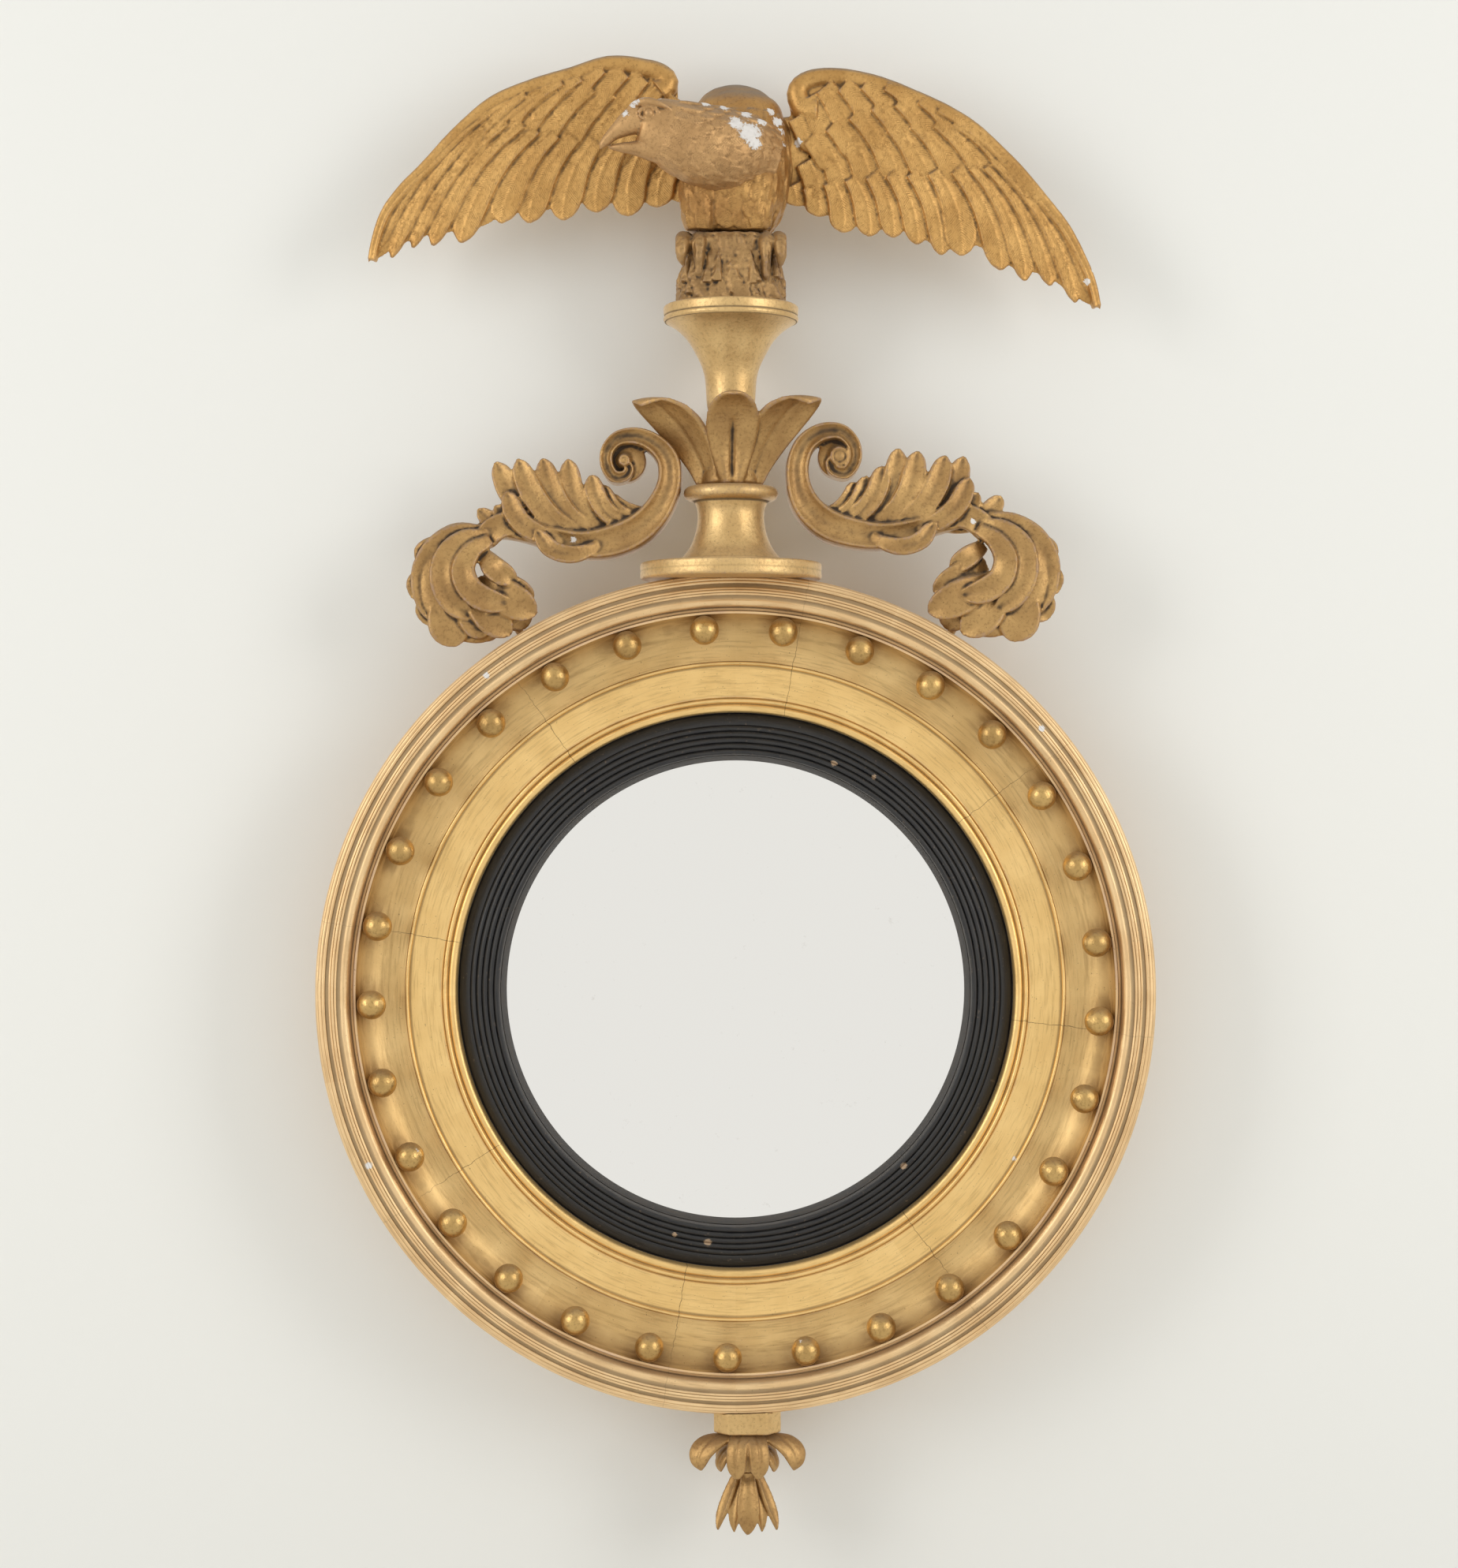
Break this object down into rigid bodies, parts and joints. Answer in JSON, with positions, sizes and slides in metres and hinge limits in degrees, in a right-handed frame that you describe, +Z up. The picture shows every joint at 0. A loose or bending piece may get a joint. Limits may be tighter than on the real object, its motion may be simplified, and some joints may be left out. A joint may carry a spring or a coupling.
{
  "type": "convex wall mirror",
  "caption": "Round convex wall mirror in a gilt frame with balls in a hollow moulding, an eagle crest on a turned stand, scrolls and a leaf pendant; hinged rings behind.",
  "frame": {"origin": "centre of the round frame on the wall plane, which is the middle of the backboard's rear face", "axes": "+Z up, the glass faces -Y, +Y points into the wall, +X to the right as seen from the front"},
  "size_m": [0.625, 0.1308, 1.1061],
  "materials": {
    "gilt_frame": "water-gilded gesso on turned pine, worn",
    "gilt_carving": "water-gilded gesso on carved pine, rubbed and toned",
    "ebonised": "ebonised and polished reeded wood",
    "mirror": "silvered convex glass",
    "raw_wood": "old bare pine, darkened",
    "iron": "dark wrought iron",
    "brass": "aged brass"
  },
  "bodies": {
    "mirror": {"frame_ring": "gilt_frame", "frieze_ring": "gilt_frame", "ball_01": "gilt_frame", "ball_02": "gilt_frame", "ball_03": "gilt_frame", "ball_04": "gilt_frame", "ball_05": "gilt_frame", "ball_06": "gilt_frame", "ball_07": "gilt_frame", "ball_08": "gilt_frame", "ball_09": "gilt_frame", "ball_10": "gilt_frame", "ball_11": "gilt_frame", "ball_12": "gilt_frame", "ball_13": "gilt_frame", "ball_14": "gilt_frame", "ball_15": "gilt_frame", "ball_16": "gilt_frame", "ball_17": "gilt_frame", "ball_18": "gilt_frame", "ball_19": "gilt_frame", "ball_20": "gilt_frame", "ball_21": "gilt_frame", "ball_22": "gilt_frame", "ball_23": "gilt_frame", "ball_24": "gilt_frame", "ball_25": "gilt_frame", "ball_26": "gilt_frame", "ball_27": "gilt_frame", "ball_28": "gilt_frame", "ball_29": "gilt_frame", "plinth_disc": "gilt_frame", "pedestal": "gilt_frame", "leaf_calyx": "gilt_frame", "trumpet_stem": "gilt_frame", "pendant_block": "gilt_frame", "rock_perch": "gilt_carving", "eagle_body": "gilt_carving", "eagle_head": "gilt_carving", "wing_left": "gilt_carving", "wing_right": "gilt_carving", "scroll_left": "gilt_carving", "scroll_right": "gilt_carving", "pendant_leaves": "gilt_carving", "pendant_bud": "gilt_carving", "ebonised_slip": "ebonised", "mirror_plate": "mirror", "glass_retainer": "raw_wood", "backboard": "raw_wood", "pendant_dowel": "raw_wood", "crest_rod": "iron", "crest_strap": "iron", "strap_screw_upper": "iron", "strap_screw_lower": "iron", "plate_screw_left": "iron", "plate_screw_right": "iron", "ring_plate_left": "brass", "ring_plate_right": "brass"},
    "ring_left": {"hanging_ring_left": "brass"},
    "ring_right": {"hanging_ring_right": "brass"}
  },
  "joints": [
    {"name": "ring_left_swing", "type": "hinge", "parent": "mirror", "child": "ring_left", "pos_m": [-0.24016, -0.0045, 0.1107], "axis": [1, 0, 0], "range_deg": [-4, 175]},
    {"name": "ring_right_swing", "type": "hinge", "parent": "mirror", "child": "ring_right", "pos_m": [0.24016, -0.0045, 0.1107], "axis": [1, 0, 0], "range_deg": [-4, 175]}
  ]
}
